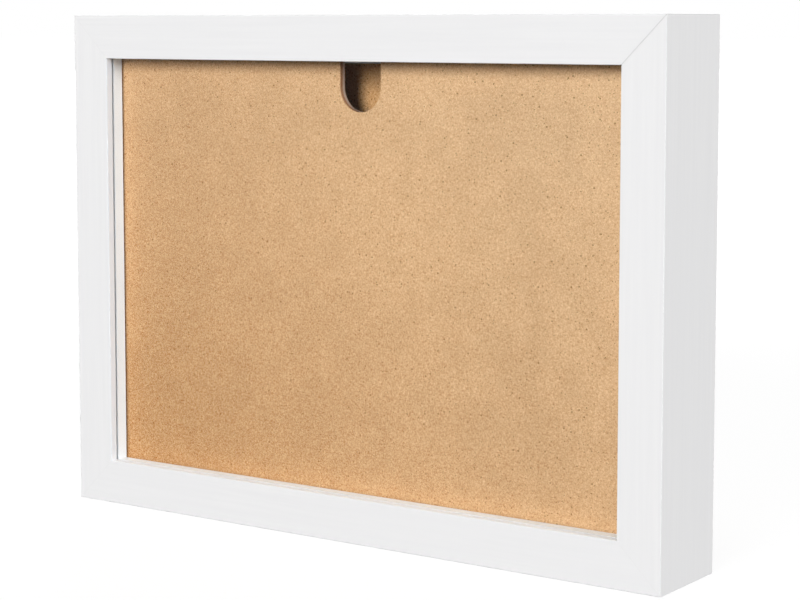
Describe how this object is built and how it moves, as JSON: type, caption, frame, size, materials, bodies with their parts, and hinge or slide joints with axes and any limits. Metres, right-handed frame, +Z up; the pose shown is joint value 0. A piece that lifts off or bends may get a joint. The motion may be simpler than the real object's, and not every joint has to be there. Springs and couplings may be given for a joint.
{
  "type": "picture frame",
  "caption": "Deep white box frame with a glazed window, a brown hardboard display board with a thumb notch, and a back that turn tabs lock in place.",
  "frame": {"origin": "on the bottom face, midway along it and midway through the frame's depth", "axes": "+X to the right as seen from the front, +Y from the front to the back, +Z up"},
  "size_m": [0.329, 0.0505, 0.242],
  "materials": {
    "white_paint": "smooth satin white paint over fibreboard",
    "white_strip": "matt white laminated strip",
    "hardboard": "bare tan hardboard with fine speckle",
    "clear_glazing": "clear float glass",
    "zinc_steel": "bright zinc plate",
    "black_rubber": "matt black rubber"
  },
  "bodies": {
    "frame": {"frame_rail_top": "white_paint", "frame_rail_bottom": "white_paint", "frame_stile_left": "white_paint", "frame_stile_right": "white_paint", "corner_v_nails": "zinc_steel", "glazing_sheet": "clear_glazing", "front_spacer_top": "white_strip", "front_spacer_bottom": "white_strip", "front_spacer_left": "white_strip", "front_spacer_right": "white_strip", "keyhole_plate_left": "zinc_steel", "keyhole_plate_right": "zinc_steel", "keyhole_plate_screws": "zinc_steel", "wall_bumper_left": "black_rubber", "wall_bumper_right": "black_rubber"},
    "rear_stack": {"display_board": "hardboard", "rear_spacer_top": "white_strip", "rear_spacer_bottom": "white_strip", "rear_spacer_left": "white_strip", "rear_spacer_right": "white_strip", "back_panel": "hardboard", "turn_tab_rivets": "zinc_steel"},
    "turn_tab_top_left": {"turn_tab_top_left": "zinc_steel"},
    "turn_tab_top_right": {"turn_tab_top_right": "zinc_steel"},
    "turn_tab_bottom_left": {"turn_tab_bottom_left": "zinc_steel"},
    "turn_tab_bottom_right": {"turn_tab_bottom_right": "zinc_steel"},
    "turn_tab_left": {"turn_tab_left": "zinc_steel"},
    "turn_tab_right": {"turn_tab_right": "zinc_steel"}
  },
  "joints": [
    {"name": "rear_stack_lift_out", "type": "slide", "parent": "frame", "child": "rear_stack", "axis": [0, 1, 0], "range_m": [0, 0.06]},
    {"name": "turn_tab_top_left_turn", "type": "hinge", "parent": "rear_stack", "child": "turn_tab_top_left", "pos_m": [-0.09, 0.01315, 0.214], "axis": [0, 1, 0], "continuous": true},
    {"name": "turn_tab_top_right_turn", "type": "hinge", "parent": "rear_stack", "child": "turn_tab_top_right", "pos_m": [0.09, 0.01315, 0.214], "axis": [0, 1, 0], "continuous": true},
    {"name": "turn_tab_bottom_left_turn", "type": "hinge", "parent": "rear_stack", "child": "turn_tab_bottom_left", "pos_m": [-0.09, 0.01315, 0.028], "axis": [0, 1, 0], "continuous": true},
    {"name": "turn_tab_bottom_right_turn", "type": "hinge", "parent": "rear_stack", "child": "turn_tab_bottom_right", "pos_m": [0.09, 0.01315, 0.028], "axis": [0, 1, 0], "continuous": true},
    {"name": "turn_tab_left_turn", "type": "hinge", "parent": "rear_stack", "child": "turn_tab_left", "pos_m": [-0.1365, 0.01315, 0.121], "axis": [0, 1, 0], "continuous": true},
    {"name": "turn_tab_right_turn", "type": "hinge", "parent": "rear_stack", "child": "turn_tab_right", "pos_m": [0.1365, 0.01315, 0.121], "axis": [0, 1, 0], "continuous": true}
  ]
}
